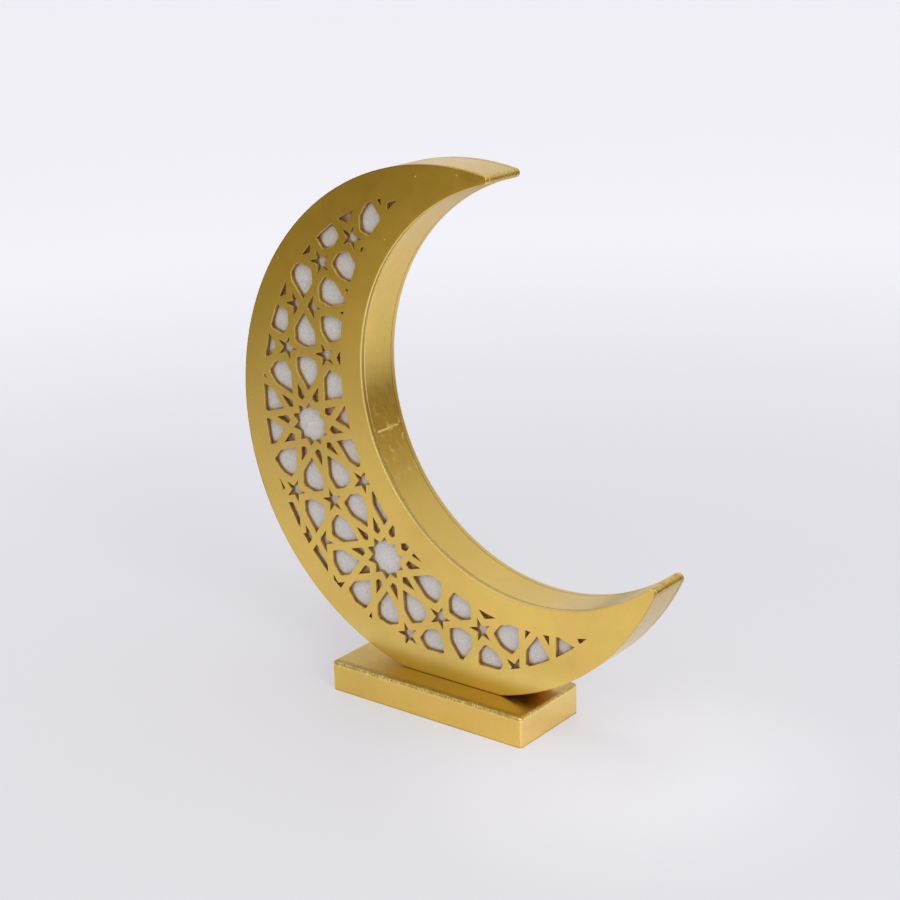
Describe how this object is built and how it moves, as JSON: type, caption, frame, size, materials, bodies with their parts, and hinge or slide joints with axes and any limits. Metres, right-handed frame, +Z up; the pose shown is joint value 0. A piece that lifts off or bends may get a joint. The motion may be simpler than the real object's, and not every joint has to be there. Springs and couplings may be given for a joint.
{
  "type": "crescent ornament",
  "caption": "Free-standing gold crescent lantern with a pierced star-pattern front, pale diffuser, edge band, base board and a battery case in its back.",
  "frame": {"origin": "centre of the base board's underside, on the surface that it stands on", "axes": "+X towards the side that the crescent's mouth opens to, -Y out of the pierced front, +Z up"},
  "size_m": [0.2857, 0.056, 0.314],
  "materials": {
    "gold_lacquered_board": "satin gold lacquer on fibreboard, burnt brown laser-cut edges",
    "gold_band": "satin gold finish, lightly scuffed",
    "raw_wood": "unfinished",
    "opal_sheet": "frosted translucent",
    "dark_moulding": "fine moulded grain",
    "switch_plastic": "smooth",
    "cell_can": "printed sleeve, plain",
    "contact_steel": "nickel plated",
    "screw_steel": "zinc plated",
    "strip_film": "white film",
    "chip_plastic": "yellow phosphor dome",
    "wire_sleeve": "soft insulation"
  },
  "bodies": {
    "lantern": {"base_block": "gold_lacquered_board", "front_panel": "gold_lacquered_board", "back_panel": "gold_lacquered_board", "edge_band": "gold_band", "mounting_block": "raw_wood", "spacer_dowels": "raw_wood", "diffuser_sheet": "opal_sheet", "battery_case": "dark_moulding", "switch_body": "contact_steel", "aa_cell_1": "cell_can", "aa_cell_2": "cell_can", "aa_cell_3": "cell_can", "contact_springs": "contact_steel", "contact_plates": "contact_steel", "base_screws": "screw_steel", "back_screws": "screw_steel", "led_strip": "strip_film", "led_chips": "chip_plastic", "lead_wires": "wire_sleeve"},
    "battery_cover": {"battery_cover": "dark_moulding"},
    "switch_knob": {"switch_knob": "switch_plastic"}
  },
  "joints": [
    {"name": "cover_lift", "type": "slide", "parent": "lantern", "child": "battery_cover", "axis": [0, 1, 0], "range_m": [0, 0.025]},
    {"name": "switch_slide", "type": "slide", "parent": "lantern", "child": "switch_knob", "axis": [1, 0, 0], "range_m": [0, 0.002]}
  ]
}
